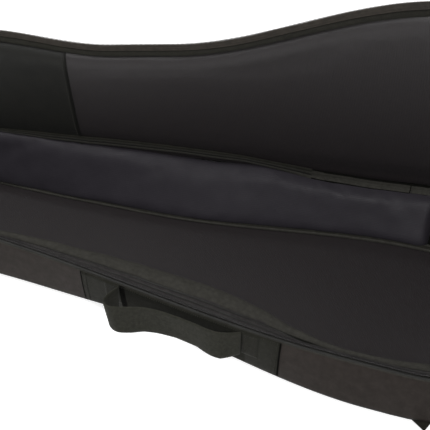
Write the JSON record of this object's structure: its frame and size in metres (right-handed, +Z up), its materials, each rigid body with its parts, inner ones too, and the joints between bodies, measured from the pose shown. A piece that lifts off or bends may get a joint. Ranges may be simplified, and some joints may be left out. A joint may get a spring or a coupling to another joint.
{
  "type": "padded gig bag",
  "caption": "Soft padded guitar bag lying open on its back: shaped lid on a sewn side hinge, lined hollow, zip round the rim, webbing carry handle, backpack straps and lid pocket.",
  "frame": {"origin": "on the outer face of the back, at mid length on the centre line", "axes": "+X along the bag from the headstock end to the body end, +Y from the handle side to the hinge side, +Z up out of the open bag"},
  "size_m": [1.1227, 0.4842, 0.5102],
  "materials": {
    "outer_polyester": "woven polyester, dull",
    "tricot_lining": "brushed tricot, matt",
    "satin_lining": "smooth satin, soft sheen",
    "binding_tape": "ribbed binding tape, matt",
    "zip_tape": "twill zip tape, matt",
    "webbing": "woven webbing, matt",
    "guard_cloth": "coated cloth, dull",
    "closed_cell_foam": "closed-cell foam",
    "zip_coil": "nylon coil, satin",
    "buckle_plastic": "moulded plastic, satin",
    "slider_metal": "black painted zinc"
  },
  "bodies": {
    "bag": {"back_outer": "outer_polyester", "back_centre": "outer_polyester", "back_foam": "closed_cell_foam", "floor_lining": "tricot_lining", "floor_binding": "binding_tape", "gusset_outer": "outer_polyester", "rear_wall_outer": "outer_polyester", "head_wall_foam": "closed_cell_foam", "body_wall_foam": "closed_cell_foam", "front_wall_foam_1": "closed_cell_foam", "front_wall_foam_2": "closed_cell_foam", "front_wall_foam_3": "closed_cell_foam", "front_wall_foam_4": "closed_cell_foam", "rear_wall_foam_1": "closed_cell_foam", "rear_wall_foam_2": "closed_cell_foam", "rear_wall_foam_3": "closed_cell_foam", "rear_wall_foam_4": "closed_cell_foam", "gusset_lining": "satin_lining", "rear_wall_lining": "satin_lining", "end_guard": "guard_cloth", "zip_tape_lower": "zip_tape", "zip_coil_lower": "zip_coil", "rim_binding": "binding_tape", "hinge_binding": "binding_tape", "handle_patch": "webbing", "handle_anchor_head": "webbing", "handle_anchor_body": "webbing", "strap_yoke": "webbing", "strap_pad_front": "outer_polyester", "strap_pad_rear": "outer_polyester", "strap_buckle_front": "buckle_plastic", "strap_buckle_rear": "buckle_plastic", "strap_webbing_front": "webbing", "strap_webbing_rear": "webbing", "strap_tab_front": "webbing", "strap_tab_rear": "webbing"},
    "lid": {"lid_outer": "outer_polyester", "lid_foam": "closed_cell_foam", "lid_lining": "tricot_lining", "headstock_guard": "guard_cloth", "lid_binding": "binding_tape", "zip_tape_upper": "zip_tape", "zip_coil_upper": "zip_coil", "pocket_panel": "outer_polyester", "pocket_zip_tape": "zip_tape", "pocket_zip_coil": "zip_coil"},
    "handle": {"handle": "webbing"},
    "hang_loop": {"hang_loop": "webbing"},
    "slider_body": {"zip_slider_body": "slider_metal"},
    "pull_body": {"zip_pull_body": "slider_metal"},
    "slider_head": {"zip_slider_head": "slider_metal"},
    "pull_head": {"zip_pull_head": "slider_metal"},
    "slider_pocket": {"zip_slider_pocket": "slider_metal"},
    "pull_pocket": {"zip_pull_pocket": "slider_metal"}
  },
  "joints": [
    {"name": "lid_hinge", "type": "hinge", "parent": "bag", "child": "lid", "pos_m": [0, 0.193, 0.089], "axis": [0.9875, 0.1575, 0], "range_deg": [-95, 84.4]},
    {"name": "handle_swing", "type": "hinge", "parent": "bag", "child": "handle", "pos_m": [0.00541, -0.14769, 0.079], "axis": [-0.9923, 0.1236, 0], "range_deg": [0, 95]},
    {"name": "hang_loop_swing", "type": "hinge", "parent": "bag", "child": "hang_loop", "pos_m": [-0.53941, 0.00809, 0.07], "axis": [0, 1, 0], "range_deg": [0, 95]},
    {"name": "slider_body_slide", "type": "slide", "parent": "lid", "child": "slider_body", "axis": [0.6666, 0.0323, 0.7447], "range_m": [0, 0.02]},
    {"name": "slider_head_slide", "type": "slide", "parent": "lid", "child": "slider_head", "axis": [-0.7444, -0.1825, 0.6423], "range_m": [0, 0.012]},
    {"name": "slider_pocket_slide", "type": "slide", "parent": "lid", "child": "slider_pocket", "axis": [0.9875, 0.1575, 0], "range_m": [0, 0.205]},
    {"name": "pull_body_swing", "type": "hinge", "parent": "slider_body", "child": "pull_body", "pos_m": [0.45323, 0.26754, 0.14201], "axis": [0.7288, 0.1818, -0.6602], "range_deg": [0, 120]},
    {"name": "pull_head_swing", "type": "hinge", "parent": "slider_head", "child": "pull_head", "pos_m": [-0.4995, 0.11935, 0.10442], "axis": [-0.649, -0.028, -0.7602], "range_deg": [0, 120]},
    {"name": "pull_pocket_swing", "type": "hinge", "parent": "slider_pocket", "child": "pull_pocket", "pos_m": [0.11025, 0.22557, 0.17479], "axis": [0.0154, -0.0964, 0.9952], "range_deg": [0, 120]}
  ]
}
